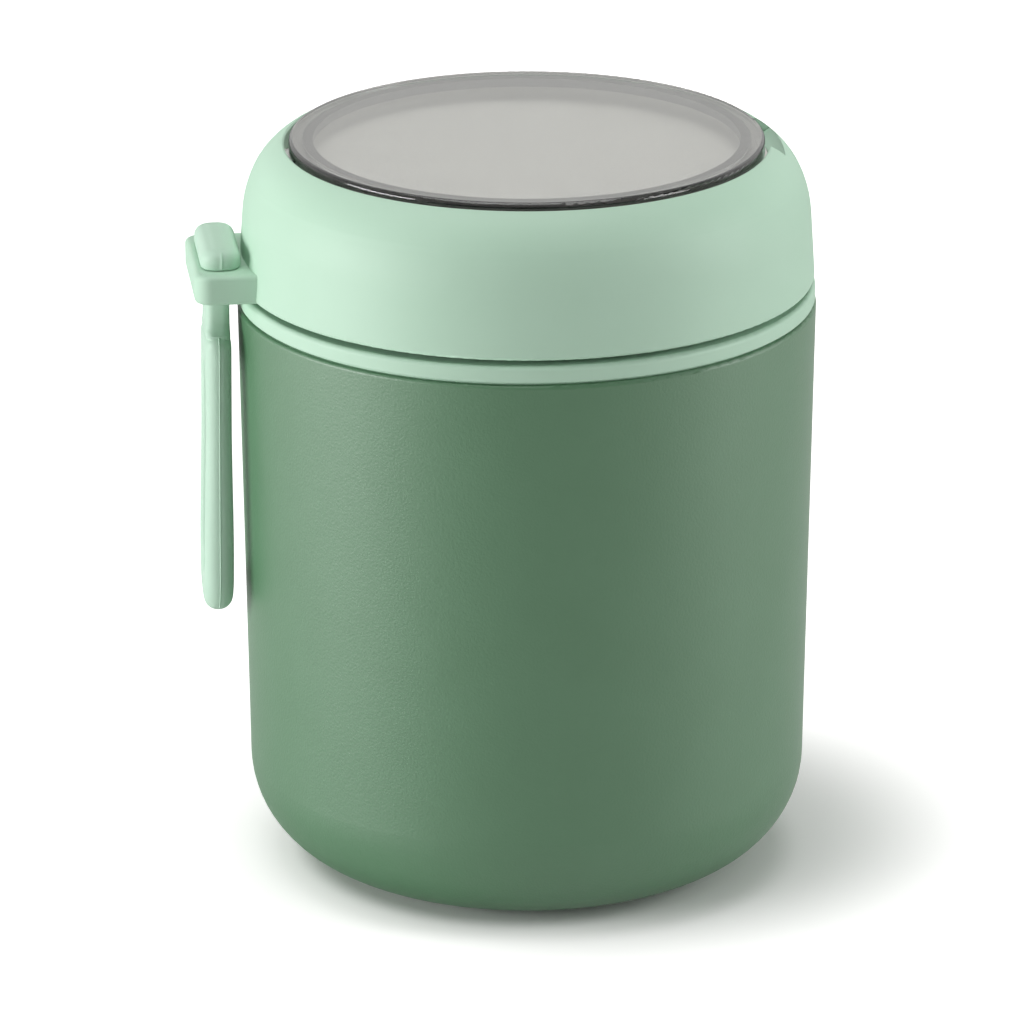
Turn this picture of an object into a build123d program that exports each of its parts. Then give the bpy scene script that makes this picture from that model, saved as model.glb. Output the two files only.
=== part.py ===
from build123d import *
import os
from math import cos, radians, sin, sqrt, tan

# Insulated lunch jar, in millimetres. The jar's axis is Z and it stands on z = 0.
# The strap lug is on the -X side of the lid and the finger notch is opposite, on +X.

# Outer shell: one tapered moulding with a large rounded base edge
shell_height = 108.2
shell_top_r = 53.7
shell_draft_deg = 0.9
shell_wall = 2.2
shell_base_wall = 2.4
shell_base_round = 19.3
shell_rim_round = 0.7

# Base pad: silicone foot let into the base
pad_setback = 26.7
pad_thickness = 1.6
pad_proud = 0.6
pad_clearance = 0.2
pad_round = 0.4

# Steel bowl: drawn cup with a turned-out and turned-down rim
bowl_rim_width = 4.2
bowl_taper = 2.8
bowl_steel = 0.6
bowl_floor_round = 14.0
bowl_rim_round = 0.9
bowl_lip = 1.8
bowl_lip_round = 0.3
bowl_floor_above_shell = 9.0

# Foam jacket between the bowl and the shell
jacket_clearance = 0.2

# Collar: visible band, spigot into the shell and neck for the lid's thread
shadow_gap = 0.45
shadow_depth = 1.1
band_height = 3.05
band_setback = 0.2
band_round = 0.9
band_lower_round = 0.3
collar_deck = 3.2
spigot_depth = 6.0
spigot_wall = 1.8
spigot_clearance = 0.2
neck_setback = 5.7
neck_height = 8.2
neck_root_round = 0.6
neck_fit = 0.1

# Gasket between the bowl's wall and the neck
gasket_height = 2.0
gasket_drop = 3.4
gasket_groove = 0.5
gasket_fit = 0.05

# Lid: drafted side, two-radius shoulder and a well for the cover
lid_gap = 1.0
lid_setback = 0.15
lid_draft_deg = 3.65
lid_side_height = 12.3
lid_shoulder_r = 19.9
lid_shoulder_deg = 21.6
lid_crown_r = 12.85
lid_wall = 1.9
lid_edge_round = 0.7
well_setback = 8.7
well_gap = 0.75
well_wall = 2.4
well_edge_round = 0.35
ledge_width = 1.4
ledge_height = 2.2

# Finger notch: a scoop across the well's edge
notch_width = 19.0
notch_scoop_r = 4.2
notch_reach = 3.3
notch_wall = 1.5

# Top cover: clear plate with a deeper rim
cover_proud = 0.85
cover_plate = 1.8
cover_depth = 3.4
cover_rim_width = 2.55
cover_top_round = 0.8
cover_lower_round = 0.5

# Cover seal: grey ring under the plate, inside the rim
seal_ring_width = 1.85
seal_ring_fit = 0.1

# Cover hook: a tab on the cover's edge that tucks under the well's edge, so the cover tilts out
hook_width = 8.0
hook_reach = 1.6
hook_height = 1.0
hook_lip = 1.45
hook_fit = 0.25
hook_swing_room = 0.6

# Tray under the cover
tray_drop = 6.2
tray_floor = 1.4
tray_wall = 1.4
tray_ledge_gap = 0.8
tray_flange = 1.4
tray_fit = 0.2
tray_seal_gap = 0.5
tray_round = 1.5

# Lid seal, liner and foam
seal_thickness = 2.4
seal_gap = 0.15
seal_fit = 0.2
seal_top_fit = 0.05
liner_plate = 1.8
liner_rib = 1.2
liner_rib_depth = 1.6
liner_fit = 0.15
foam_top_gap = 0.2
foam_side_gap = 2.0

# Strap lug on the lid
lug_overhang = 9.2
lug_width = 28.0
lug_height = 5.5
lug_corner = 3.0
lug_round = 0.9

# Carry strap: T-head above the lug, neck through its slot, finger loop below
strap_offset = 4.45
strap_width = 16.0
strap_thickness = 4.9
strap_limb = 4.2
strap_round = 1.7
strap_drop = 62.6
strap_shoulder_drop = 7.8
strap_shoulder_round = 2.2
strap_end_round = 7.6
strap_loop_top = 7.0
strap_loop_bottom = 7.2
strap_neck_width = 9.6
strap_neck_thickness = 4.2
strap_neck_flare = 2.4
strap_neck_sink = 2.0
strap_slot_fit = 0.3
strap_stub = 0.5
strap_hinge_gap = 0.3
strap_lean_deg = 0.6
head_width = 21.0
head_depth = 7.4
head_height = 3.9
head_inset = 0.4
head_corner = 2.2
head_top_round = 1.7
head_lower_round = 0.5

# One overrun serves every cut
overrun = 5.0

# Radii, each set back from the shell's or from the one before
pad_r = shell_top_r - pad_setback
spigot_r = shell_top_r - shell_wall - spigot_clearance
band_r = shell_top_r - band_setback
neck_r = band_r - neck_setback
bowl_mouth_r = neck_r - bowl_rim_width
bowl_floor_r = bowl_mouth_r - bowl_taper
neck_inner_r = bowl_mouth_r + bowl_steel + bowl_rim_round + neck_fit
lid_r = band_r - lid_setback
well_r = lid_r - well_setback
ledge_r = well_r - ledge_width
tray_inner_r = ledge_r - tray_ledge_gap - tray_wall
cover_r = well_r - well_gap
cover_rim_inner_r = cover_r - cover_rim_width
lug_reach = lid_r + lug_overhang
strap_x = lid_r + strap_offset

# Levels, from the ground up
z_shell = pad_proud
z_shell_floor = z_shell + shell_base_wall
z_shell_top = z_shell + shell_height
z_spigot = z_shell_top - spigot_depth
z_band = z_shell_top + shadow_gap
z_band_top = z_band + band_height
z_deck = z_band_top - collar_deck
z_neck_top = z_band_top + neck_height
z_bowl_rim = z_neck_top + bowl_steel
z_bowl_floor = z_shell + bowl_floor_above_shell
z_seal = z_bowl_rim + seal_gap
z_liner = z_seal + seal_thickness + seal_top_fit
z_liner_top = z_liner + liner_plate
z_lid = z_band_top + lid_gap
z_lug_top = z_lid + lug_height
z_shoulder = z_lid + lid_side_height

# Dome of the lid: side draft, first arc, second arc to a level crown that the well cuts away
side_angle = radians(lid_draft_deg)
crown_angle = radians(lid_draft_deg + lid_shoulder_deg)
shoulder_rise = lid_shoulder_r * (sin(crown_angle) - sin(side_angle))
crown_rise = lid_crown_r * (1 - sin(crown_angle))
z_crown = z_shoulder + shoulder_rise + crown_rise
crown_centre_r = (
    lid_r
    - lid_side_height * tan(side_angle)
    - lid_shoulder_r * (cos(side_angle) - cos(crown_angle))
    - lid_crown_r * cos(crown_angle)
)

# Well's edge on the dome, about which the cover tilts, and what is let into the well
z_well_edge = z_crown - lid_crown_r + sqrt(lid_crown_r**2 - (well_r - crown_centre_r) ** 2)
z_cover_top = z_well_edge + cover_proud
z_cover_plate = z_cover_top - cover_plate
z_cover_lower = z_cover_top - cover_depth
z_tray_rim = z_cover_lower - tray_seal_gap
z_ledge = z_tray_rim - tray_flange
z_tray_floor = z_cover_top - tray_drop
z_tray_under = z_tray_floor - tray_floor
z_hook_top = z_well_edge - hook_lip
z_hook = z_hook_top - hook_height

# Flex axis of the strap, along Y, where the neck leaves the lug
z_strap_stub = z_lid - strap_stub
strap_barrel_r = strap_neck_thickness / 2
z_strap_axis = z_strap_stub - strap_hinge_gap - strap_barrel_r
z_strap_shoulder = z_lid - strap_shoulder_drop
z_strap_end = z_lid - strap_drop


def turned(points, rounds):
    """Revolve a closed half section, given as (radius, height) corners with a round at each."""
    outline = FilletPolyline(*points, radius=rounds, close=True)
    return revolve(Plane.XZ * make_face(outline), Axis.Z)


def ring(inner_r, outer_r, lower, upper, edge_round):
    """A ring of rectangular section with rounded edges."""
    corners = [(inner_r, lower), (outer_r, lower), (outer_r, upper), (inner_r, upper)]
    return turned(corners, [edge_round] * len(corners))


def disc(radius, lower, upper):
    """A plain round plate or round cutter."""
    return Pos(0, 0, lower) * Cylinder(radius, upper - lower, align=(Align.CENTER, Align.CENTER, Align.MIN))


def cross_rod(radius, length, x, z):
    """A rod along Y, centred at the given place."""
    return Pos(x, 0, z) * Rot(90, 0, 0) * Cylinder(radius, length)


def shell_inner_r(z):
    """Inner radius of the drafted outer shell at a height."""
    return shell_top_r - shell_wall - (z_shell_top - z) * tan(radians(shell_draft_deg))


def bowl_outer_r(z):
    """Outer radius of the bowl's tapered wall at a height."""
    taper = (bowl_mouth_r - bowl_floor_r) / (z_bowl_rim - z_bowl_floor)
    return bowl_floor_r + bowl_steel + (z - z_bowl_floor) * taper


def make_outer_shell():
    base_r = shell_top_r - shell_height * tan(radians(shell_draft_deg))
    section = [
        (0, z_shell),
        (base_r, z_shell),
        (shell_top_r, z_shell_top),
        (shell_top_r - shell_wall, z_shell_top),
        (shell_inner_r(z_shell_floor), z_shell_floor),
        (0, z_shell_floor),
    ]
    rounds = [0, shell_base_round, shell_rim_round, 0, shell_base_round - shell_wall, 0]
    recess = disc(pad_r + pad_clearance, z_shell - overrun, pad_thickness)
    return turned(section, rounds) - recess


def make_base_pad():
    section = [(0, 0), (pad_r, 0), (pad_r, pad_thickness), (0, pad_thickness)]
    return turned(section, [0, pad_round, pad_round, 0])


def make_inner_bowl():
    rim_under = z_bowl_rim - bowl_steel
    section = [
        (0, z_bowl_floor),
        (bowl_outer_r(z_bowl_floor), z_bowl_floor),
        (bowl_outer_r(rim_under), rim_under),
        (neck_r - bowl_steel, rim_under),
        (neck_r - bowl_steel, z_bowl_rim - bowl_lip),
        (neck_r, z_bowl_rim - bowl_lip),
        (neck_r, z_bowl_rim),
        (bowl_mouth_r, z_bowl_rim),
        (bowl_floor_r, z_bowl_floor + bowl_steel),
        (0, z_bowl_floor + bowl_steel),
    ]
    rounds = [
        0,
        bowl_floor_round + bowl_steel,
        bowl_rim_round,
        bowl_lip_round,
        0,
        0,
        bowl_lip_round + bowl_steel,
        bowl_rim_round + bowl_steel,
        bowl_floor_round,
        0,
    ]
    return turned(section, rounds)


def make_insulation_jacket():
    top = z_spigot - jacket_clearance
    under_bowl = z_bowl_floor - jacket_clearance
    section = [
        (0, z_shell_floor),
        (shell_inner_r(z_shell_floor) - jacket_clearance, z_shell_floor),
        (shell_inner_r(top) - jacket_clearance, top),
        (bowl_outer_r(top) + jacket_clearance, top),
        (bowl_outer_r(under_bowl) + jacket_clearance, under_bowl),
        (0, under_bowl),
    ]
    outer_round = shell_base_round - shell_wall + jacket_clearance
    inner_round = bowl_floor_round + bowl_steel + jacket_clearance
    return turned(section, [0, outer_round, 0, 0, inner_round, 0])


def make_collar():
    z_step = z_bowl_rim - bowl_lip - neck_fit
    step_r = neck_r - bowl_steel - neck_fit
    shadow_r = shell_top_r - shadow_depth
    section = [
        (neck_inner_r, z_spigot),
        (neck_r, z_spigot),
        (neck_r, z_deck),
        (spigot_r - spigot_wall, z_deck),
        (spigot_r - spigot_wall, z_spigot),
        (spigot_r, z_spigot),
        (spigot_r, z_shell_top),
        (shadow_r, z_shell_top),
        (shadow_r, z_band),
        (band_r, z_band),
        (band_r, z_band_top),
        (neck_r, z_band_top),
        (neck_r, z_step),
        (step_r, z_step),
        (step_r, z_neck_top),
        (neck_inner_r, z_neck_top),
    ]
    rounds = [0] * len(section)
    rounds[section.index((band_r, z_band))] = band_lower_round
    rounds[section.index((band_r, z_band_top))] = band_round
    rounds[section.index((neck_r, z_band_top))] = neck_root_round
    rounds[section.index((step_r, z_neck_top))] = bowl_lip_round + neck_fit
    groove_top = z_neck_top - gasket_drop + gasket_fit
    groove_lower = z_neck_top - gasket_drop - gasket_height - gasket_fit
    groove = disc(neck_inner_r + gasket_groove, groove_lower, groove_top)
    return turned(section, rounds) - groove


def make_bowl_gasket():
    top = z_neck_top - gasket_drop
    inner_r = bowl_outer_r(top) + gasket_fit
    outer_r = neck_inner_r + gasket_groove - gasket_fit
    return ring(inner_r, outer_r, top - gasket_height, top, 0)


def make_dome(inset):
    """The lid's full outer form, or that form set in by a wall."""
    side_r = lid_r - inset / cos(side_angle)
    shoulder_r = lid_r - lid_side_height * tan(side_angle) - inset * cos(side_angle)
    shoulder_z = z_shoulder - inset * sin(side_angle)
    side = Line((side_r, z_lid), (shoulder_r, shoulder_z))
    shoulder = JernArc(side @ 1, side % 1, lid_shoulder_r - inset, lid_shoulder_deg)
    crown_turn = 90 - lid_draft_deg - lid_shoulder_deg
    crown = JernArc(shoulder @ 1, shoulder % 1, lid_crown_r - inset, crown_turn)
    closing = Polyline(crown @ 1, (0, z_crown - inset), (0, z_lid), (side_r, z_lid))
    return revolve(Plane.XZ * make_face([side, shoulder, crown, closing]), Axis.Z)


def lid_cavity_r(z):
    """Inner radius of the lid's drafted side at a height."""
    return lid_r - lid_wall / cos(side_angle) - (z - z_lid) * tan(side_angle)


def make_lug(cavity):
    """Tab for the strap: a rounded plate that runs into the lid's side, with a slot through it."""
    root = ledge_r
    plan = Pos(-(lug_reach + root) / 2, 0) * Rectangle(lug_reach - root, lug_width)
    plan = fillet(plan.vertices().group_by(Axis.X)[0], lug_corner)
    lug = extrude(Plane.XY.offset(z_lid) * plan, lug_height)
    rims = lug.edges().group_by(Axis.Z)[0] + lug.edges().group_by(Axis.Z)[-1]
    lug = fillet(rims, lug_round)
    slot_plan = RectangleRounded(
        strap_neck_thickness + 2 * strap_slot_fit,
        strap_neck_width + 2 * strap_slot_fit,
        strap_slot_fit,
    )
    slot = extrude(Plane.XY.offset(z_lid - overrun) * Pos(-strap_x, 0) * slot_plan, lug_height + 2 * overrun)
    return lug - cavity - slot


def hook_sector(radius, lower, upper, width):
    """A slice of a disc at the cover's -X edge, as wide as the hook."""
    slab = Pos(-radius, 0, (lower + upper) / 2) * Box(2 * (radius - cover_rim_inner_r), width, upper - lower)
    return disc(radius, lower, upper) & slab


def make_lid_shell():
    outer = make_dome(0)
    outer = fillet(outer.edges().group_by(Axis.Z)[0], lid_edge_round)
    cavity = make_dome(lid_wall)
    well_outer = disc(well_r + well_wall, z_ledge - ledge_height, z_cover_top)
    notch_x = well_r + notch_reach - notch_scoop_r
    backing_length = notch_width + 2 * notch_wall
    backing = cross_rod(notch_scoop_r + notch_wall, backing_length, notch_x, z_cover_top)
    lid = (outer - cavity) + ((well_outer + backing) & outer)
    lid = lid - disc(well_r, z_ledge, z_cover_top + overrun)
    lid = lid - disc(ledge_r, z_lid, z_ledge + overrun)
    crown_edge = lid.edges().filter_by(GeomType.CIRCLE).group_by(Axis.Z)[-1]
    lid = fillet(crown_edge, well_edge_round)
    lid = lid + make_lug(cavity)
    lid = lid - cross_rod(notch_scoop_r, notch_width, notch_x, z_cover_top)
    undercut_r = cover_r + hook_reach + hook_fit
    undercut_width = hook_width + 2 * hook_fit
    return lid - hook_sector(undercut_r, z_hook - hook_swing_room, z_hook_top + hook_fit, undercut_width)


def make_lid_liner():
    rim_r = lid_cavity_r(z_liner_top) - liner_fit
    inner_rib = bowl_mouth_r + bowl_steel - liner_rib
    plate = disc(rim_r, z_liner, z_liner_top)
    for rib_r in (inner_rib, neck_r + seal_fit):
        plate = plate + ring(rib_r, rib_r + liner_rib, z_liner - liner_rib_depth, z_liner, 0)
    return plate


def make_lid_seal():
    inner_r = bowl_mouth_r + bowl_steel + seal_fit
    return ring(inner_r, neck_r, z_seal, z_seal + seal_thickness, seal_fit)


def make_lid_insulation():
    foam_r = lid_cavity_r(z_liner_top) - foam_side_gap
    return disc(foam_r, z_liner_top, z_tray_under - foam_top_gap)


def make_storage_tray():
    flange_r = well_r - tray_fit
    section = [
        (0, z_tray_under),
        (tray_inner_r + tray_wall, z_tray_under),
        (tray_inner_r + tray_wall, z_ledge),
        (flange_r, z_ledge),
        (flange_r, z_tray_rim),
        (tray_inner_r, z_tray_rim),
        (tray_inner_r, z_tray_floor),
        (0, z_tray_floor),
    ]
    rounds = [0, tray_round, 0, 0, 0, 0, tray_round, 0]
    return turned(section, rounds)


def make_top_cover():
    section = [
        (0, z_cover_plate),
        (cover_rim_inner_r, z_cover_plate),
        (cover_rim_inner_r, z_cover_lower),
        (cover_r, z_cover_lower),
        (cover_r, z_cover_top),
        (0, z_cover_top),
    ]
    cover = turned(section, [0, 0, 0, cover_lower_round, cover_top_round, 0])
    return cover + hook_sector(cover_r + hook_reach, z_hook, z_hook_top, hook_width)


def make_cover_seal():
    outer_r = cover_rim_inner_r - seal_ring_fit
    return ring(outer_r - seal_ring_width, outer_r, z_cover_lower, z_cover_plate, 0)


def make_strap_head():
    """T-head above the lug, with the strap's neck passing down through the slot."""
    head_plan = Pos(head_inset - strap_x, 0) * RectangleRounded(head_depth, head_width, head_corner)
    head = extrude(Plane.XY.offset(z_lug_top) * head_plan, head_height)
    head = fillet(head.edges().group_by(Axis.Z)[-1], head_top_round)
    head = fillet(head.edges().group_by(Axis.Z)[0], head_lower_round)
    neck_plan = Pos(-strap_x, 0) * Rectangle(strap_neck_thickness, strap_neck_width)
    neck = extrude(Plane.XY.offset(z_strap_stub) * neck_plan, z_lug_top + head_lower_round - z_strap_stub)
    return head + neck


def make_strap_loop():
    """Finger loop: a rounded band with a long eye, a flared neck and a round top to flex about."""
    half = strap_width / 2
    outline = FilletPolyline(
        (-half, z_strap_end),
        (half, z_strap_end),
        (half, z_strap_shoulder),
        (-half, z_strap_shoulder),
        radius=[strap_end_round, strap_end_round, strap_shoulder_round, strap_shoulder_round],
        close=True,
    )
    eye_low = z_strap_end + strap_loop_bottom
    eye_high = z_strap_shoulder - strap_loop_top
    eye = SlotOverall(eye_high - eye_low, strap_width - 2 * strap_limb, rotation=90)
    band = make_face(outline) - Pos(0, (eye_low + eye_high) / 2) * eye
    at_strap = Plane.YZ.offset(-strap_x)
    loop = extrude(at_strap * band, strap_thickness / 2, both=True)
    rims = loop.edges().group_by(Axis.X)[0] + loop.edges().group_by(Axis.X)[-1]
    loop = fillet(rims, strap_round)
    neck_half = strap_neck_width / 2
    flare_half = neck_half + strap_neck_flare
    neck_low = z_strap_shoulder - strap_neck_sink
    neck = FilletPolyline(
        (-neck_half, z_strap_axis),
        (neck_half, z_strap_axis),
        (neck_half, z_strap_shoulder),
        (flare_half, z_strap_shoulder),
        (neck_half, neck_low),
        (-neck_half, neck_low),
        (-flare_half, z_strap_shoulder),
        (-neck_half, z_strap_shoulder),
        radius=[0, 0, strap_neck_flare / 2, 0, 0, 0, 0, strap_neck_flare / 2],
        close=True,
    )
    loop = loop + extrude(at_strap * make_face(neck), strap_barrel_r, both=True)
    loop = loop + cross_rod(strap_barrel_r, strap_neck_width, -strap_x, z_strap_axis)
    return loop.rotate(Axis((-strap_x, 0, z_strap_axis), (0, 1, 0)), strap_lean_deg)


makers = {
    "outer_shell": make_outer_shell,
    "base_pad": make_base_pad,
    "inner_bowl": make_inner_bowl,
    "insulation_jacket": make_insulation_jacket,
    "collar": make_collar,
    "bowl_gasket": make_bowl_gasket,
    "lid_shell": make_lid_shell,
    "lid_liner": make_lid_liner,
    "lid_seal": make_lid_seal,
    "lid_insulation": make_lid_insulation,
    "storage_tray": make_storage_tray,
    "top_cover": make_top_cover,
    "cover_seal": make_cover_seal,
    "strap_head": make_strap_head,
    "strap_loop": make_strap_loop,
}

os.makedirs("parts", exist_ok=True)
for node, make in makers.items():
    export_step(make(), f"parts/{node}.step")

print("cover tilt axis at x", round(-cover_r, 3), "z", round(z_well_edge, 3))
print("strap flex axis at x", round(-strap_x, 3), "z", round(z_strap_axis, 3))
print("overall height", round(z_cover_top, 3))
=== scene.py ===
# %% [markdown]
# # An insulated lunch jar, from CAD solids to a studio picture
#
# The jar's solids were made in CAD and come in as a fixed frame: each one is a Blender object with
# its place in its mesh. Nothing here moves or reshapes them. This lesson gives every solid its real
# finish, models what CAD leaves to Blender, which is the soft strap and the screw threads, and then
# sets up floor, light and camera.

import math

import bmesh
import bpy
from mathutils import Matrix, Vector


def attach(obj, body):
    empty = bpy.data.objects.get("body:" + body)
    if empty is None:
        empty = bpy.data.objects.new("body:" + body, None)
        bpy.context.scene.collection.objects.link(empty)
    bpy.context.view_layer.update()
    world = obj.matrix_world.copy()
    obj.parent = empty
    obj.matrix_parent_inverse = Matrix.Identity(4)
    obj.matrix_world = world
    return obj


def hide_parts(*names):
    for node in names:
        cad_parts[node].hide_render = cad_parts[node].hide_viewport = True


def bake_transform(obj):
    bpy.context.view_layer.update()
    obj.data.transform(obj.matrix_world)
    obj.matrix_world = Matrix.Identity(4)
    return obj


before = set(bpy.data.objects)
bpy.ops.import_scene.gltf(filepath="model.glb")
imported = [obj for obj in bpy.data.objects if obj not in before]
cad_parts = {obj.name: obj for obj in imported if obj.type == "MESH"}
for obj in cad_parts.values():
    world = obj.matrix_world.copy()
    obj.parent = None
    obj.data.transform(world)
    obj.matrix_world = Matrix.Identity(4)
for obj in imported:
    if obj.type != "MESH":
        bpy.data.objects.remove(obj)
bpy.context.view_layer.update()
mm = 0.001
print("CAD nodes:", len(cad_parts))

# %% [markdown]
# ## The camera
#
# The picture was taken from far off with a long lens: the band's ellipse and the base's have nearly
# the same shape. The camera could be placed by eye, but fitting the ellipses gives numbers: 1.25 m
# away, 19 degrees above the table and 7 degrees round towards the strap. The jar stands a little
# off the picture's middle, which the lens shift takes up without turning the camera.

# %% Camera
look_at = Vector((0, 0, 70.6 * mm))
camera_distance = 1.25
elevation = math.radians(19.3)
azimuth = math.radians(-7)
sensor_width = 36
pixels_per_mm = 5.333
picture_width = 1024
lens_shift = (-0.0144, -0.0221)

away = Vector((
    math.sin(azimuth) * math.cos(elevation),
    -math.cos(azimuth) * math.cos(elevation),
    math.sin(elevation),
))
bpy.ops.object.select_all(action="DESELECT")
bpy.ops.object.camera_add(
    location=look_at + camera_distance * away,
    rotation=(math.pi / 2 - elevation, 0, azimuth),
)
camera = bpy.context.object
camera.name = "studio_camera"
camera.data.sensor_width = sensor_width
camera.data.lens = sensor_width * pixels_per_mm * camera_distance / mm / picture_width
camera.data.shift_x, camera.data.shift_y = lens_shift
bpy.context.scene.camera = camera
print("lens in mm:", round(camera.data.lens, 1))

# %% [markdown]
# ## Helpers for materials
#
# Colours are picked from pictures as sRGB hex codes, but shader sockets want linear light, so one
# function converts them. Materials are node trees, and a second function adds any node, fills its
# inputs with numbers or with other nodes' outputs, and returns it. A third starts a material with an
# empty tree. With these, a material reads as a short recipe. A noise seldom comes near 0 or 1, so
# colour ramps run between two ends that lie further in.

# %% Colour and node helpers
def linear(hex_code):
    """An sRGB hex colour as the linear RGBA that shader sockets take."""
    channels = [int(hex_code[i : i + 2], 16) / 255 for i in (1, 3, 5)]
    return [c / 12.92 if c <= 0.04045 else ((c + 0.055) / 1.055) ** 2.4 for c in channels] + [1]


def add_node(tree, kind, inputs, **settings):
    """Add a shader node, give it settings, and fill its inputs with values or other nodes' outputs."""
    node = tree.nodes.new("ShaderNode" + kind)
    for name, value in settings.items():
        setattr(node, name, value)
    for name, value in inputs.items():
        if isinstance(value, bpy.types.NodeSocket):
            tree.links.new(value, node.inputs[name])
        else:
            node.inputs[name].default_value = value
    return node


def new_material(name):
    """A material with an empty node tree."""
    material = bpy.data.materials.new(name)
    material.use_nodes = True
    material.node_tree.nodes.clear()
    return material


ramp_ends = (0.3, 0.7)
print("helpers ready: white is", linear("#ffffff"))

# %% [markdown]
# ## Outer shell: textured polypropylene
#
# The shell is moulded in a tool whose steel was spark-eroded, so the plastic comes out with a fine,
# even grain that scatters light and looks soft and matte, a little like leather. Modelling the
# grain would take millions of faces. A bump from a fine noise does it: grains of about half a
# millimetre, as deep as they need to be to show in the picture. A thin soft-touch lacquer lies over
# the colour and gives the pale sheen on the side towards the lamp, so the shader gets a rough coat.
# The colour drifts by a few percent, as pigment in a moulding does.

# %% Shell material
textured_pp = new_material("textured_polypropylene_green")
tree = textured_pp.node_tree
place = add_node(tree, "TexCoord", {}).outputs["Object"]
grain_size = 0.47 * mm
grain_depth = 0.06 * mm
drift_size = 14 * mm
grain = add_node(tree, "TexNoise", {
    "Vector": place,
    "Scale": 1 / grain_size,
    "Detail": 2.0,
    "Roughness": 0.55,
})
drift = add_node(tree, "TexNoise", {
    "Vector": place,
    "Scale": 1 / drift_size,
    "Detail": 3.0,
    "Roughness": 0.6,
})
colour = add_node(tree, "ValToRGB", {"Fac": drift.outputs["Fac"]})
for end, position, pigment in zip(colour.color_ramp.elements, ramp_ends, ("#3f754b", "#43784f")):
    end.position = position
    end.color = linear(pigment)
matte = add_node(tree, "MapRange", {"Value": grain.outputs["Fac"], "To Min": 0.47, "To Max": 0.57})
bump = add_node(tree, "Bump", {
    "Height": grain.outputs["Fac"],
    "Strength": 0.9,
    "Distance": grain_depth,
})
shader = add_node(tree, "BsdfPrincipled", {
    "Base Color": colour.outputs["Color"],
    "Roughness": matte.outputs["Result"],
    "IOR": 1.49,
    "Specular IOR Level": 1.0,
    "Coat Weight": 1.0,
    "Coat Roughness": 0.52,
    "Coat IOR": 1.5,
    "Normal": bump.outputs["Normal"],
    "Coat Normal": bump.outputs["Normal"],
})
add_node(tree, "OutputMaterial", {"Surface": shader.outputs["BSDF"]})
print("made", textured_pp.name)

# %% [markdown]
# ## Lid and band: satin polypropylene
#
# The lid comes from a finer tool: fine sandblasting leaves a satin skin that shows a broad, soft
# highlight and hardly any grain. The same recipe works with a finer and much shallower bump, and
# without the lacquer. The blasting is finer than a pixel, so it is drawn coarser, at 0.3 mm.

# %% Lid material
satin_pp = new_material("satin_polypropylene_mint")
tree = satin_pp.node_tree
place = add_node(tree, "TexCoord", {}).outputs["Object"]
blast_size = 0.3 * mm
blast_depth = 0.015 * mm
flow_size = 20 * mm
blast = add_node(tree, "TexNoise", {"Vector": place, "Scale": 1 / blast_size, "Detail": 1.0})
flow = add_node(tree, "TexNoise", {"Vector": place, "Scale": 1 / flow_size, "Detail": 2.0})
colour = add_node(tree, "ValToRGB", {"Fac": flow.outputs["Fac"]})
for end, position, pigment in zip(colour.color_ramp.elements, ramp_ends, ("#bedfc8", "#c1e1cb")):
    end.position = position
    end.color = linear(pigment)
satin = add_node(tree, "MapRange", {"Value": flow.outputs["Fac"], "To Min": 0.5, "To Max": 0.56})
bump = add_node(tree, "Bump", {
    "Height": blast.outputs["Fac"],
    "Strength": 0.25,
    "Distance": blast_depth,
})
shader = add_node(tree, "BsdfPrincipled", {
    "Base Color": colour.outputs["Color"],
    "Roughness": satin.outputs["Result"],
    "IOR": 1.49,
    "Specular IOR Level": 0.39,
    "Normal": bump.outputs["Normal"],
})
add_node(tree, "OutputMaterial", {"Surface": shader.outputs["BSDF"]})
print("made", satin_pp.name)

# %% [markdown]
# ## Tray and inner lid: pale polypropylene
#
# Food-contact mouldings are often left nearly unpigmented: a warm, pale grey with a faint mottle
# where the plastic is thicker, and an even satin skin. One slow noise is enough for both: it shifts
# the colour and the roughness a little.

# %% Tray material
pale_pp = new_material("pale_polypropylene")
tree = pale_pp.node_tree
place = add_node(tree, "TexCoord", {}).outputs["Object"]
mottle_size = 9 * mm
mottle = add_node(tree, "TexNoise", {"Vector": place, "Scale": 1 / mottle_size, "Detail": 3.0})
colour = add_node(tree, "ValToRGB", {"Fac": mottle.outputs["Fac"]})
for end, position, pigment in zip(colour.color_ramp.elements, ramp_ends, ("#e2e2dd", "#e7e7e2")):
    end.position = position
    end.color = linear(pigment)
satin = add_node(tree, "MapRange", {"Value": mottle.outputs["Fac"], "To Min": 0.42, "To Max": 0.5})
shader = add_node(tree, "BsdfPrincipled", {
    "Base Color": colour.outputs["Color"],
    "Roughness": satin.outputs["Result"],
    "IOR": 1.49,
})
add_node(tree, "OutputMaterial", {"Surface": shader.outputs["BSDF"]})
print("made", pale_pp.name)

# %% [markdown]
# ## Cover: smoke-grey polycarbonate
#
# The cover is clear plastic with a little grey dye in it, so it is the thickness that darkens it:
# the plate is pale and the deeper rim is dark. A tinted surface would make both alike. A clear
# surface with absorption inside gets this right by itself. Lamp rays can't be aimed through a
# bending surface, so for them alone the skin is simply see-through, and the tray below is lit
# without grain in the picture.

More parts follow.
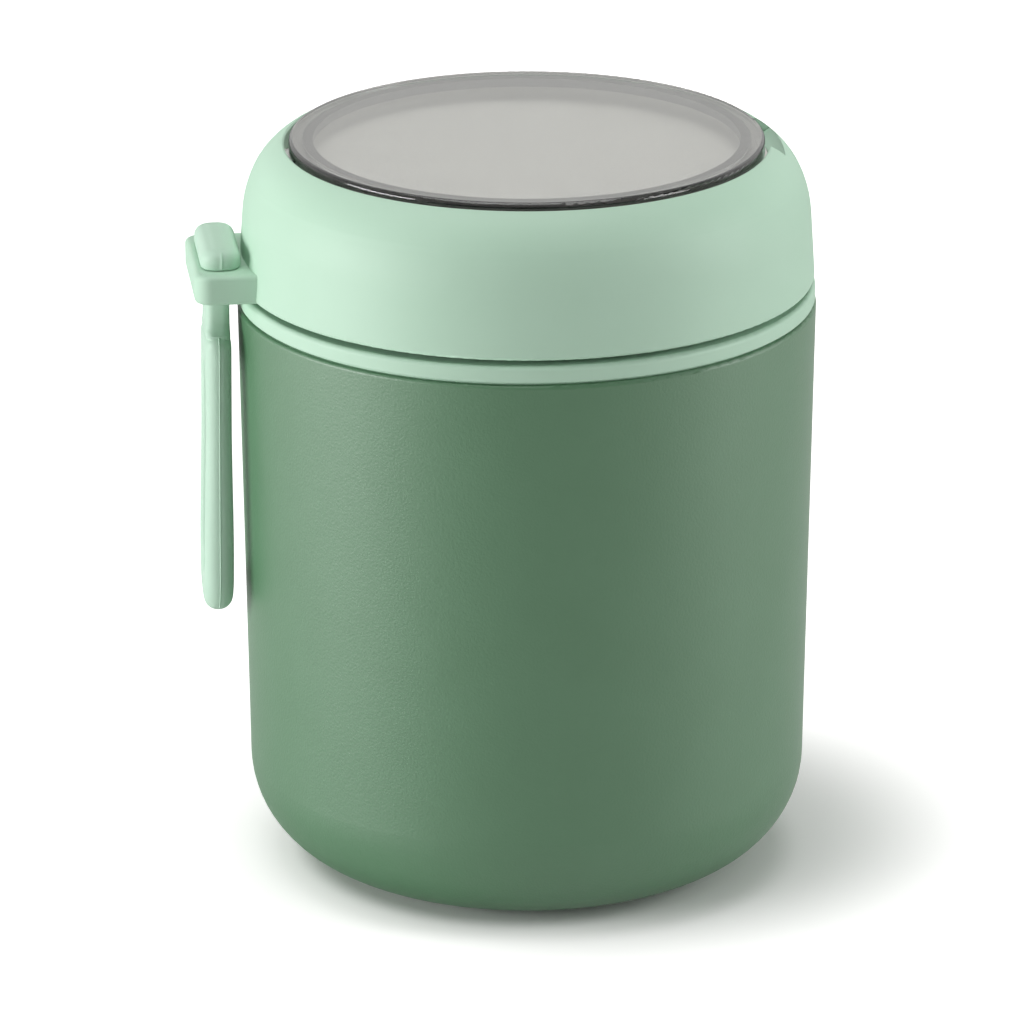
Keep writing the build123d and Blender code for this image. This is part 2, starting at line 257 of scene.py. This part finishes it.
# %% Cover material
smoke_pc = new_material("smoke_polycarbonate")
tree = smoke_pc.node_tree
place = add_node(tree, "TexCoord", {}).outputs["Object"]
haze_size = 6 * mm
haze = add_node(tree, "TexNoise", {"Vector": place, "Scale": 1 / haze_size, "Detail": 4.0})
gloss = add_node(tree, "MapRange", {"Value": haze.outputs["Fac"], "To Min": 0.03, "To Max": 0.08})
clear = add_node(tree, "BsdfPrincipled", {
    "Base Color": linear("#f4f4f2"),
    "Roughness": gloss.outputs["Result"],
    "IOR": 1.585,
    "Transmission Weight": 1.0,
})
open_way = add_node(tree, "BsdfTransparent", {"Color": linear("#f0f0ee")})
ray = add_node(tree, "LightPath", {})
skin = add_node(tree, "MixShader", {
    0: ray.outputs["Is Shadow Ray"],
    1: clear.outputs["BSDF"],
    2: open_way.outputs["BSDF"],
})
dye = add_node(tree, "VolumeAbsorption", {"Color": linear("#757573"), "Density": 230.0})
add_node(tree, "OutputMaterial", {
    "Surface": skin.outputs["Shader"],
    "Volume": dye.outputs["Volume"],
})
print("made", smoke_pc.name)

# %% [markdown]
# ## Silicone: strap, seals and foot
#
# Silicone rubber is soft, slightly waxy and never shiny: light goes a little way in and comes out
# again. Some subsurface scattering gives that, with a fine bump from the mould's blasted steel, which
# is drawn coarser than it is, at 0.35 mm. One function makes the four colours, because they differ
# only in pigment and a little in roughness.

# %% Silicone materials
skin_size = 0.35 * mm
skin_depth = 0.02 * mm
scatter_reach = 0.6 * mm
dull_spread = 0.05


def silicone(name, pigment, roughness):
    """A pigmented silicone rubber, given as an sRGB hex colour and a mean roughness."""
    material = new_material(name)
    tree = material.node_tree
    place = add_node(tree, "TexCoord", {}).outputs["Object"]
    skin = add_node(tree, "TexNoise", {"Vector": place, "Scale": 1 / skin_size, "Detail": 2.0})
    dull = add_node(tree, "MapRange", {
        "Value": skin.outputs["Fac"],
        "To Min": roughness - dull_spread,
        "To Max": roughness + dull_spread,
    })
    bump = add_node(tree, "Bump", {
        "Height": skin.outputs["Fac"],
        "Strength": 0.3,
        "Distance": skin_depth,
    })
    shader = add_node(tree, "BsdfPrincipled", {
        "Base Color": linear(pigment),
        "Roughness": dull.outputs["Result"],
        "IOR": 1.41,
        "Subsurface Weight": 0.15,
        "Subsurface Scale": scatter_reach,
        "Subsurface Radius": (1.0, 1.0, 1.0),
        "Normal": bump.outputs["Normal"],
    })
    add_node(tree, "OutputMaterial", {"Surface": shader.outputs["BSDF"]})
    return material


strap_silicone = silicone("silicone_mint", "#c4e2ce", 0.5)
seal_silicone = silicone("silicone_translucent_white", "#dfdfd9", 0.45)
cover_silicone = silicone("silicone_grey", "#8f8f8d", 0.5)
foot_silicone = silicone("silicone_dark_green", "#4f6c55", 0.6)
print("made four silicones")

# %% [markdown]
# ## Bowl: spun stainless steel
#
# The bowl is deep-drawn and then polished on a lathe, which leaves fine lines around it. The lines
# run around the axis, so the pattern has to depend on radius and height alone: the distance from
# the axis and z feed a noise, and no line ever crosses the wall. Real lines are finer than a pixel,
# so these are drawn coarser, a quarter of a millimetre apart. They show when the lid is off.

# %% Steel material
spun_steel = new_material("spun_stainless_steel")
tree = spun_steel.node_tree
place = add_node(tree, "TexCoord", {}).outputs["Object"]
line_spacing = 0.25 * mm
line_depth = 0.01 * mm
split = add_node(tree, "SeparateXYZ", {"Vector": place})
across = add_node(tree, "CombineXYZ", {"X": split.outputs["X"], "Y": split.outputs["Y"]})
radius = add_node(tree, "VectorMath", {0: across.outputs["Vector"]}, operation="LENGTH")
lathe = add_node(tree, "CombineXYZ", {"X": radius.outputs["Value"], "Y": split.outputs["Z"]})
lines = add_node(tree, "TexNoise", {
    "Vector": lathe.outputs["Vector"],
    "Scale": 1 / line_spacing,
    "Detail": 2.0,
})
polish = add_node(tree, "MapRange", {"Value": lines.outputs["Fac"], "To Min": 0.24, "To Max": 0.36})
bump = add_node(tree, "Bump", {
    "Height": lines.outputs["Fac"],
    "Strength": 0.12,
    "Distance": line_depth,
})
shader = add_node(tree, "BsdfPrincipled", {
    "Base Color": linear("#dcdcda"),
    "Metallic": 1.0,
    "Roughness": polish.outputs["Result"],
    "Normal": bump.outputs["Normal"],
})
add_node(tree, "OutputMaterial", {"Surface": shader.outputs["BSDF"]})
print("made", spun_steel.name)

# %% [markdown]
# ## Insulation: rigid foam
#
# The foam is sealed inside, so it shows only in a section. It still gets its real look: a warm
# off-white with cells under a millimetre across, drawn by a cell pattern as colour and as bump.

# %% Foam material
rigid_foam = new_material("rigid_polyurethane_foam")
tree = rigid_foam.node_tree
place = add_node(tree, "TexCoord", {}).outputs["Object"]
cell_size = 0.8 * mm
cell_depth = 0.2 * mm
cells = add_node(tree, "TexVoronoi", {"Vector": place, "Scale": 1 / cell_size})
colour = add_node(tree, "ValToRGB", {"Fac": cells.outputs["Distance"]})
for end, pigment in zip(colour.color_ramp.elements, ("#cfc9b4", "#ece8d9")):
    end.color = linear(pigment)
bump = add_node(tree, "Bump", {
    "Height": cells.outputs["Distance"],
    "Strength": 0.6,
    "Distance": cell_depth,
})
shader = add_node(tree, "BsdfPrincipled", {
    "Base Color": colour.outputs["Color"],
    "Roughness": 0.9,
    "Normal": bump.outputs["Normal"],
})
add_node(tree, "OutputMaterial", {"Surface": shader.outputs["BSDF"]})
print("made", rigid_foam.name)

# %% [markdown]
# ## Dress the solids
#
# A CAD solid keeps its mesh and gets its finish through its material slot. One table says which is
# which, so a reader sees at a glance what the jar is made of.

# %% Assign the finishes
finishes = {
    "outer_shell": textured_pp,
    "collar": satin_pp,
    "lid_shell": satin_pp,
    "lid_liner": pale_pp,
    "storage_tray": pale_pp,
    "top_cover": smoke_pc,
    "cover_seal": cover_silicone,
    "lid_seal": seal_silicone,
    "bowl_gasket": seal_silicone,
    "base_pad": foot_silicone,
    "inner_bowl": spun_steel,
    "insulation_jacket": rigid_foam,
    "lid_insulation": rigid_foam,
    "strap_head": strap_silicone,
    "strap_loop": strap_silicone,
}
for node, finish in finishes.items():
    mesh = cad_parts[node].data
    mesh.materials.clear()
    mesh.materials.append(finish)
print("dressed", len(finishes), "solids")

# %% [markdown]
# ## Helpers for picking
#
# In edit mode an operator works on what is selected. By hand one would click; a script picks by
# place instead. The helper below selects only the faces, edges or vertices that pass a test on
# their middle, in millimetres, and on their direction: a face's or vertex's normal, or the way that
# an edge runs. A direction counts as along an axis when nearly all of it is, and as across the axis
# when hardly any of it is. Two tolerances in millimetres, near and hair, say what counts as at a place.

# %% Picking helper
along_axis = 0.9
across_axis = 0.1
near = 0.02
hair = 0.01


def pick(kind, test):
    """In edit mode, select only what passes a test on its middle, in mm, and its direction."""
    bpy.ops.mesh.select_mode(type=kind)
    bpy.ops.mesh.select_all(action="DESELECT")
    shape = bmesh.from_edit_mesh(bpy.context.edit_object.data)
    shape.normal_update()
    elements = {"FACE": shape.faces, "EDGE": shape.edges, "VERT": shape.verts}[kind]
    count = 0
    for element in elements:
        if kind == "FACE":
            middle, direction = element.calc_center_median(), element.normal
        elif kind == "EDGE":
            start, end = (vertex.co for vertex in element.verts)
            middle, direction = (start + end) / 2, (end - start).normalized()
        else:
            middle, direction = element.co, element.normal
        if test(middle / mm, direction):
            element.select_set(True)
            count += 1
    shape.select_flush_mode()
    bmesh.update_edit_mesh(bpy.context.edit_object.data)
    return count


print("picking helper ready")

# %% [markdown]
# ## Helpers for modelling
#
# The strap and the threads start from cubes and are worked on with the tools one would use by hand:
# extrude, bevel, and modifiers that are applied at once. These helpers only turn millimetres into
# Blender's metres and keep the selection right.

# %% Modelling helpers
smooth_angle = math.radians(35)


def add_box(name, low, high):
    """Start a piece from a cube primitive with these corners, in mm, and enter edit mode."""
    bpy.ops.object.select_all(action="DESELECT")
    low, high = Vector(low) * mm, Vector(high) * mm
    bpy.ops.mesh.primitive_cube_add(size=1, location=(low + high) / 2, scale=high - low)
    bpy.ops.object.transform_apply(location=True, rotation=True, scale=True)
    piece = bpy.context.object
    piece.name = name
    bpy.ops.object.mode_set(mode="EDIT")
    return piece


def extrude(x=0.0, y=0.0, z=0.0):
    """Extrude what is selected by a distance in mm."""
    bpy.ops.mesh.extrude_region_move(TRANSFORM_OT_translate={"value": (x * mm, y * mm, z * mm)})


def round_edges(test, radius, steps):
    """In edit mode, round the edges that pass a test by a radius in mm."""
    found = pick("EDGE", test)
    bpy.ops.mesh.bevel(offset=radius * mm, segments=steps, affect="EDGES", clamp_overlap=False)
    return found


def apply_modifier(piece, kind, **settings):
    """Add a modifier with these settings and apply it."""
    modifier = piece.modifiers.new(kind.lower(), kind)
    for name, value in settings.items():
        setattr(modifier, name, value)
    bpy.ops.object.modifier_apply(modifier=modifier.name)


def boolean(piece, tool, operation):
    """Cut or join a second piece, then drop it."""
    bpy.ops.object.select_all(action="DESELECT")
    piece.select_set(True)
    bpy.context.view_layer.objects.active = piece
    apply_modifier(piece, "BOOLEAN", operation=operation, solver="EXACT", object=tool)
    bpy.data.objects.remove(tool)


print("modelling helpers ready")

# %% [markdown]
# ## Carry strap: the loop
#
# The strap is one soft silicone moulding: a T-head that is pulled through the lug's slot, a narrow
# neck, and a long loop for a finger. The solids in the frame are split where it flexes, and here it
# is modelled in one piece. A curve with a bevel could not widen at the shoulders, and one cage for
# everything would leave edges where the rounds have to run. So each part starts as its own box,
# gets its rounds while it is simple, and is then joined by a boolean. The loop is a flat bar: its
# four corners are rounded by different radii first, and then the rim all round. A second, thicker
# bar is made in the same way, to cut the eye.

# %% Strap bars
strap_x = -57.8
strap_half = 8.0
strap_thick_half = 2.4
z_shoulder = 105.5
z_strap_end = 49.9
shoulder_round = 3.2
end_round = 7.6
rim_round = 2.3
rim_steps = 8
eye_half = 3.8
eye_end_round = 3.75
z_eye_top = 98.5
z_eye_low = 57.9
corner_steps = 9


def add_bar(name, half, thick_half, low, high, low_round, high_round):
    """A flat upright bar in the strap's plane with rounded corners, left in edit mode."""
    bar = add_box(name, (strap_x - thick_half, -half, low), (strap_x + thick_half, half, high))
    middle = (low + high) / 2
    for at_end, radius in (
        (lambda z: z < middle, low_round),
        (lambda z: z > high - near, high_round),
    ):
        round_edges(
            lambda at, along: abs(along.x) > along_axis and at_end(at.z),
            radius,
            corner_steps,
        )
    return bar


eye = add_bar(
    "eye_cutter",
    eye_half,
    2 * strap_thick_half,
    z_eye_low,
    z_eye_top,
    eye_end_round,
    eye_end_round,
)
bpy.ops.object.mode_set(mode="OBJECT")
strap = add_bar(
    "carry_strap",
    strap_half,
    strap_thick_half,
    z_strap_end,
    z_shoulder,
    end_round,
    shoulder_round,
)
found = round_edges(lambda at, along: abs(along.x) < across_axis, rim_round, rim_steps)
print("rim edges rounded:", found)

# %% [markdown]
# ## Carry strap: mould line and eye
#
# Where the mould's halves met, a hair-thin ridge runs along the rim. A loop cut would need a clean
# ring of faces, so three upright cuts make the rows, and the middle one is pushed out along the
# normals. Then the thicker bar cuts the eye, and the eye's edges are rounded on both faces.

# %% Strap mould line and eye
ridge_half = 0.2
ridge_height = 0.12
cut_limit = 0.001
rim_facing = 0.3
eye_round = 1.2
eye_steps = 5


def add_mould_line(x, test):
    """In edit mode, raise a thin ridge at x in mm, on the points whose normals pass a test."""
    for offset in (-ridge_half, 0, ridge_half):
        bpy.ops.mesh.select_all(action="SELECT")
        bpy.ops.mesh.bisect(
            plane_co=((x + offset) * mm, 0, 0),
            plane_no=(1, 0, 0),
            threshold=cut_limit * mm,
        )
    found = pick("VERT", lambda at, facing: abs(at.x - x) < hair and test(facing))
    bpy.ops.transform.shrink_fatten(value=ridge_height * mm)
    return found


def on_eye_edge(at, along):
    """Whether an edge lies where the eye meets one of the bar's broad faces."""
    on_face = abs(along.x) < across_axis and abs(at.x - strap_x) > strap_thick_half - near
    within = abs(at.y) < eye_half + near and z_eye_low - near < at.z < z_eye_top + near
    on_side = abs(at.y) > eye_half - near
    on_end = not z_eye_low + eye_half < at.z < z_eye_top - eye_half
    return on_face and within and (on_side or on_end)


found = add_mould_line(strap_x, lambda facing: abs(facing.x) < rim_facing)
print("rim mould line points:", found)
bpy.ops.object.mode_set(mode="OBJECT")
boolean(strap, eye, "DIFFERENCE")
bpy.ops.object.mode_set(mode="EDIT")
found = round_edges(on_eye_edge, eye_round, eye_steps)
bpy.ops.object.mode_set(mode="OBJECT")
print("eye edges rounded:", found, "faces:", len(strap.data.polygons))

# %% [markdown]
# ## Carry strap: the neck
#
# The neck is a narrow box with round sides. Its lower end is drawn down in short rows, each a
# little wider than the one above, so that it flares into the shoulders as a moulding does.

# %% Strap neck
neck_half = 4.8
neck_thick_half = 2.25
z_neck_top = 119.6
z_neck_low = 109.2
neck_round = 1.5
neck_steps = 6
flare_slant = 0.3
flare_rows = [
    (108.4, 4.82),
    (107.3, 4.98),
    (106.4, 5.35),
    (105.7, 5.9),
    (105.1, 6.7),
    (104.4, 6.9),
]

neck = add_box(
    "strap_neck",
    (strap_x - neck_thick_half, -neck_half, z_neck_low),
    (strap_x + neck_thick_half, neck_half, z_neck_top),
)
pick("FACE", lambda at, facing: facing.z < -along_axis)
last_level, last_half = z_neck_low, neck_half
for level, half in flare_rows:
    extrude(z=level - last_level)
    bpy.ops.transform.resize(
        value=(1, half / last_half, 1),
        center_override=(strap_x * mm, 0, level * mm),
    )
    last_level, last_half = level, half
found = round_edges(
    lambda at, along: abs(along.z) > flare_slant and abs(along.x) < across_axis,
    neck_round,
    neck_steps,
)
bpy.ops.object.mode_set(mode="OBJECT")
print("neck edges rounded:", found)
boolean(strap, neck, "UNION")
print("loop and neck faces:", len(strap.data.polygons))

# %% [markdown]
# ## Carry strap: the T-head
#
# The head is another box, rounded far more than the loop and a little domed on top: insets of the
# top face, each lifted less than the one before, give the dome. The mould's ridge stands up at the
# head's ends as well.

# %% Strap head
head_x = -57.4
head_half = 10.5
head_deep_half = 3.7
z_head = 118.85
z_head_top = 122.4
head_corner_round = 3.1
head_top_round = 1.9
head_steps = 8
head_foot_round = 0.5
head_foot_steps = 3
flat_top = 0.999
dome_inset = 0.35
dome_rises = (0.1, 0.07, 0.04)
end_facing = 0.55

head = add_box(
    "strap_head_block",
    (head_x - head_deep_half, -head_half, z_head),
    (head_x + head_deep_half, head_half, z_head_top),
)
round_edges(lambda at, along: abs(along.z) > along_axis, head_corner_round, head_steps)
round_edges(lambda at, along: abs(at.z - z_head_top) < near, head_top_round, head_steps)
round_edges(lambda at, along: abs(at.z - z_head) < near, head_foot_round, head_foot_steps)
pick("FACE", lambda at, facing: facing.z > flat_top)
for rise in dome_rises:
    bpy.ops.mesh.inset(thickness=dome_inset * mm)
    bpy.ops.transform.translate(value=(0, 0, rise * mm))
found = add_mould_line(head_x, lambda facing: abs(facing.y) > end_facing)
bpy.ops.object.mode_set(mode="OBJECT")
boolean(strap, head, "UNION")
print("mould line points:", found, "strap faces:", len(strap.data.polygons))

# %% [markdown]
# ## Carry strap: swelling and hanging
#
# A strap that bends needs rows of faces where it bends, so level cuts go through the neck. Cuts
# through the limbs let the loop swell towards its end: one row is scaled, and proportional editing
# carries the rows around it along. The loop hangs a touch outwards, as soft straps do: everything
# below the bend is turned by half a degree or so.

# %% Strap rows
z_flex = 110.4
lean = math.radians(0.6)
bend_rows = [113.4 - 0.4 * step for step in range(15)]
limb_rows = [98.0 - 4.0 * step for step in range(10)]
z_swell = limb_rows[-1]
swell = 1.13
swell_reach = 26.0
weld_limit = 0.005

bpy.ops.object.mode_set(mode="EDIT")
for level in bend_rows + limb_rows:
    bpy.ops.mesh.select_all(action="SELECT")
    bpy.ops.mesh.bisect(plane_co=(0, 0, level * mm), plane_no=(0, 0, 1))
bpy.ops.mesh.select_all(action="SELECT")
bpy.ops.mesh.remove_doubles(threshold=weld_limit * mm)
found = pick("VERT", lambda at, facing: abs(at.z - z_swell) < near)
bpy.ops.transform.resize(
    value=(swell, 1, 1),
    center_override=(strap_x * mm, 0, z_swell * mm),
    use_proportional_edit=True,
    proportional_edit_falloff="SMOOTH",
    proportional_size=swell_reach * mm,
)
print("points in the swollen row:", found)
found = pick("VERT", lambda at, facing: at.z < z_flex - hair)
bpy.ops.transform.rotate(
    value=-lean,
    orient_axis="Y",
    orient_type="GLOBAL",
    center_override=(strap_x * mm, 0, z_flex * mm),
)
bpy.ops.object.mode_set(mode="OBJECT")
bpy.ops.object.shade_smooth_by_angle(angle=smooth_angle)
print("points turned outwards:", found)

# %% [markdown]
# ## Carry strap: finish
#
# The strap stands in for the two solids of the frame, which are hidden. On the jar its head stays
# with the lid and its loop swings as the silicone bends. Here it gets its silicone, and its place
# is baked into its mesh.

# %% Strap finish
strap.data.materials.append(strap_silicone)
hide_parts("strap_head", "strap_loop")
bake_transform(strap)
print("finished strap faces:", len(strap.data.polygons))

# %% [markdown]
# ## Screw threads: one rib
#
# With the lid off, the neck shows three raised ribs that climb round it, and the lid has three to
# match inside. A spin could make a rib, but it stays level. The Screw modifier turns a section
# round the axis and lifts it as it goes, which is what a thread is. The lift has to match the lid's
# own motion, 18 mm in a full turn, so that the ribs slide along each other and never meet. Each end
# is drawn out and shrunk onto the wall, because a real rib fades out.

# %% Thread rib
thread_lead = 18.0
rib_root_half = 0.75
rib_tip_half = 0.4
section_half = 0.01
rib_steps = 36
run_out = 4.0
end_reach = 0.5
end_scale = 0.1


def add_rib(name, root_r, tip_r, z_start, sweep_deg):
    """A tapered section, screwed up round the axis and closed, left in edit mode."""
    low = (min(root_r, tip_r), -section_half, z_start - rib_root_half)
    high = (max(root_r, tip_r), section_half, z_start + rib_root_half)
    rib = add_box(name, low, high)
    pick("FACE", lambda at, facing: facing.y < along_axis)
    bpy.ops.mesh.delete(type="FACE")
    pick("VERT", lambda at, facing: abs(at.x - tip_r) < hair)
    bpy.ops.transform.resize(
        value=(1, 1, rib_tip_half / rib_root_half),
        center_override=(tip_r * mm, 0, z_start * mm),
    )
    bpy.ops.mesh.select_all(action="SELECT")
    bpy.ops.mesh.delete(type="ONLY_FACE")
    bpy.ops.object.mode_set(mode="OBJECT")
    apply_modifier(
        rib,
        "SCREW",
        axis="Z",
        angle=math.radians(sweep_deg),
        screw_offset=thread_lead * sweep_deg / 360 * mm,
        steps=rib_steps,
        render_steps=rib_steps,
        use_merge_vertices=False,
    )
    bpy.ops.object.mode_set(mode="EDIT")
    bpy.ops.mesh.select_all(action="SELECT")
    bpy.ops.mesh.fill_holes(sides=4)
    bpy.ops.mesh.normals_make_consistent(inside=False)
    return rib


def draw_out_ends(root_r, tip_r, z_start, sweep_deg):
    """In edit mode, draw a rib's two ends out to thin tails on the wall."""
    rise = thread_lead * sweep_deg / 360
    for angle, lift, sense in ((0, 0, -1), (math.radians(sweep_deg), rise, 1)):
        outward = Vector((math.cos(angle), math.sin(angle), 0))
        ahead = sense * Vector((-math.sin(angle), math.cos(angle), 0))
        level = Vector((0, 0, z_start + lift))
        middle = outward * (root_r + tip_r) / 2 + level
        found = pick(
            "FACE",
            lambda at, facing: facing.dot(ahead) > along_axis and (at - middle).length < end_reach,
        )
        print("end faces drawn out:", found)
        extrude(*(ahead * run_out))
        tail = outward * root_r + level + ahead * run_out
        bpy.ops.transform.resize(
            value=(end_scale, end_scale, end_scale),
            center_override=tail * mm,
        )
    bpy.ops.mesh.select_all(action="SELECT")
    bpy.ops.mesh.normals_make_consistent(inside=False)


print("rib helpers ready")

# %% [markdown]
# ## Screw threads: neck and lid
#
# A three-start thread has three equal ribs, a third of a turn apart, so one is made and copied
# round. They are all one moulding with the neck or the lid, and are joined to one piece. The neck's
# ribs have their roots inside and the lid's outside.

# %% Thread pieces
thread_starts = 3


def add_thread(name, root_r, tip_r, z_start, start_deg, sweep_deg, body):
    """A rib, copied round the axis and joined, that moves with a body."""
    piece = add_rib(name, root_r, tip_r, z_start, sweep_deg)
    draw_out_ends(root_r, tip_r, z_start, sweep_deg)
    bpy.ops.object.mode_set(mode="OBJECT")
    piece.rotation_euler.z = math.radians(start_deg)
    ribs = [piece]
    for turn in range(1, thread_starts):
        bpy.ops.object.duplicate()
        rib = bpy.context.object
        rib.rotation_euler.z = math.radians(start_deg) + turn * math.tau / thread_starts
        ribs.append(rib)
    bpy.ops.object.select_all(action="DESELECT")
    for rib in ribs:
        rib.select_set(True)
    bpy.context.view_layer.objects.active = piece
    bpy.ops.object.transform_apply(location=True, rotation=True, scale=True)
    bpy.ops.object.join()
    bpy.ops.object.shade_smooth_by_angle(angle=smooth_angle)
    piece.data.materials.append(satin_pp)
    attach(piece, body)
    print(name, "faces:", len(piece.data.polygons))


add_thread(
    "neck_thread",
    root_r=47.7,
    tip_r=49.3,
    z_start=114.0,
    start_deg=10,
    sweep_deg=80,
    body="jar",
)
add_thread(
    "lid_thread",
    root_r=51.25,
    tip_r=48.6,
    z_start=114.8,
    start_deg=61,
    sweep_deg=48,
    body="lid",
)

# %% [markdown]
# ## The floor
#
# The jar stands on white paper that runs off in all directions, so the floor is one large sheet. It
# is a real surface, because it has to take the jar's shadow. Lit by the lamps alone it would come
# out light grey. More light would wash out the jar, so the paper gets painted light: it glows a
# little, for the camera only. The glow is left out where the jar stands, so the contact shadow
# stays. It is weak in the soft shadow on the right and stronger everywhere else, where it paints
# over the floor's real shade, so the shadow's shape is partly painted. Far off, where the lamps no
# longer reach, it glows most. The paper's fibres are finer than a pixel, so their mottle is drawn
# coarser, at 2 mm.

# %% Floor sheet
floor_side = 12
bpy.ops.object.select_all(action="DESELECT")
bpy.ops.mesh.primitive_plane_add(size=floor_side)
floor = bpy.context.object
floor.name = "paper_floor"
print("floor", floor.dimensions[:])

# %% Floor material
paper = new_material("white_studio_paper")
tree = paper.node_tree
place = add_node(tree, "TexCoord", {}).outputs["Object"]
fibre_size = 2 * mm
shadow_middle = (18 * mm, 3.5 * mm, 0)
fibre = add_node(tree, "TexNoise", {"Vector": place, "Scale": 1 / fibre_size, "Detail": 2.0})
shade = add_node(tree, "ValToRGB", {"Fac": fibre.outputs["Fac"]})
for end, whiteness in zip(shade.color_ramp.elements, ("#f8f8f7", "#fafaf9")):
    end.color = linear(whiteness)
sheet = add_node(tree, "BsdfDiffuse", {"Color": shade.outputs["Color"]})
# Painted light: a camera-only glow, none at the jar, little in the shadow, over shade elsewhere
reach = add_node(tree, "VectorMath", {0: place}, operation="LENGTH")
contact = add_node(tree, "MapRange", {
    "Value": reach.outputs["Value"],
    "From Min": 39 * mm,
    "From Max": 46 * mm,
}, interpolation_type="SMOOTHSTEP")
off_shadow = add_node(tree, "VectorMath", {0: place, 1: shadow_middle}, operation="DISTANCE")
painted_light_fade = add_node(tree, "MapRange", {
    "Value": off_shadow.outputs["Value"],
    "From Min": 36 * mm,
    "From Max": 80 * mm,
    "To Min": 0.08,
    "To Max": 0.63,
}, interpolation_type="SMOOTHSTEP")
far = add_node(tree, "MapRange", {
    "Value": reach.outputs["Value"],
    "From Min": 120 * mm,
    "From Max": 600 * mm,
    "To Min": 0.0,
    "To Max": 0.4,
}, interpolation_type="SMOOTHSTEP")
lift = add_node(tree, "Math", {
    0: contact.outputs["Result"],
    1: painted_light_fade.outputs["Result"],
    2: far.outputs["Result"],
}, operation="MULTIPLY_ADD")
ray = add_node(tree, "LightPath", {})
painted_light_seen = add_node(tree, "Math", {
    0: ray.outputs["Is Camera Ray"],
    1: lift.outputs["Value"],
}, operation="MULTIPLY")
# Painted light: the camera-only glow that is added on top of the lamp-lit paper
painted_glow = add_node(tree, "Emission", {
    "Color": linear("#fffefd"),
    "Strength": painted_light_seen.outputs["Value"],
})
paper_with_painted_light = add_node(tree, "AddShader", {0: sheet.outputs["BSDF"], 1: painted_glow.outputs["Emission"]})
add_node(tree, "OutputMaterial", {"Surface": paper_with_painted_light.outputs["Shader"]})
floor.data.materials.append(paper)
print("made", paper.name)

# %% [markdown]
# ## The room
#
# The room is dark, so that the lamps alone shape the jar. Only the camera and clear pieces see it
# as white. Reflections see a white backdrop behind the jar, which is what the cover's flat top
# mirrors, and a dim room in front.

# %% World
world = bpy.data.worlds.new("dim_studio")
bpy.context.scene.world = world
world.use_nodes = True
tree = world.node_tree
tree.nodes.clear()
ray = add_node(tree, "LightPath", {})
seen = add_node(tree, "Math", {
    0: ray.outputs["Is Camera Ray"],
    1: ray.outputs["Is Transmission Ray"],
}, operation="MAXIMUM")
direction = add_node(tree, "TexCoord", {}).outputs["Generated"]
ray_way = add_node(tree, "SeparateXYZ", {"Vector": direction})
backdrop = add_node(tree, "MapRange", {
    "Value": ray_way.outputs["Y"],
    "From Min": 0.0,
    "From Max": 0.7,
    "To Min": 0.2,
    "To Max": 1.0,
}, interpolation_type="SMOOTHSTEP")
glint = add_node(tree, "Math", {
    0: ray.outputs["Is Glossy Ray"],
    1: backdrop.outputs["Result"],
}, operation="MULTIPLY")
level = add_node(tree, "Math", {
    0: seen.outputs["Value"],
    1: glint.outputs["Value"],
}, operation="MAXIMUM")
room = add_node(tree, "Background", {
    "Color": linear("#fefefd"),
    "Strength": level.outputs["Value"],
})
add_node(tree, "OutputWorld", {"Surface": room.outputs["Background"]})
bpy.context.scene.view_settings.view_transform = "Standard"
print("world", world.name)

# %% [markdown]
# ## The lamps
#
# Soft boxes, as in a product studio: a large one on the left models the form, a weaker one on the
# right opens the shade, one above lights the lid, and a small low one on the right lifts the base's
# edge. A point lamp would draw hard shadows and small, sharp highlights.

# %% Lamps
def add_softbox(name, position, width, height, watts):
    """A soft rectangular lamp at a place in metres, aimed at the jar's middle."""
    aim = (Vector(position) - look_at).to_track_quat("Z", "Y")
    bpy.ops.object.light_add(type="AREA", location=position, rotation=aim.to_euler())
    lamp = bpy.context.object
    lamp.name = name
    lamp.data.shape = "RECTANGLE"
    lamp.data.size = width
    lamp.data.size_y = height
    lamp.data.energy = watts
    print("lamp", name, watts, "W")


add_softbox("softbox_left", (-1.12, -0.2, 0.2), width=0.8, height=0.4, watts=10.9)
add_softbox("softbox_right", (1.1, -0.35, 0.45), width=0.5, height=0.8, watts=6.1)
add_softbox("softbox_top", (0.0, 0.0, 1.3), width=1.0, height=1.0, watts=9.0)
add_softbox("softbox_low_right", (1.12, -0.2, 0.15), width=0.6, height=0.3, watts=1.2)
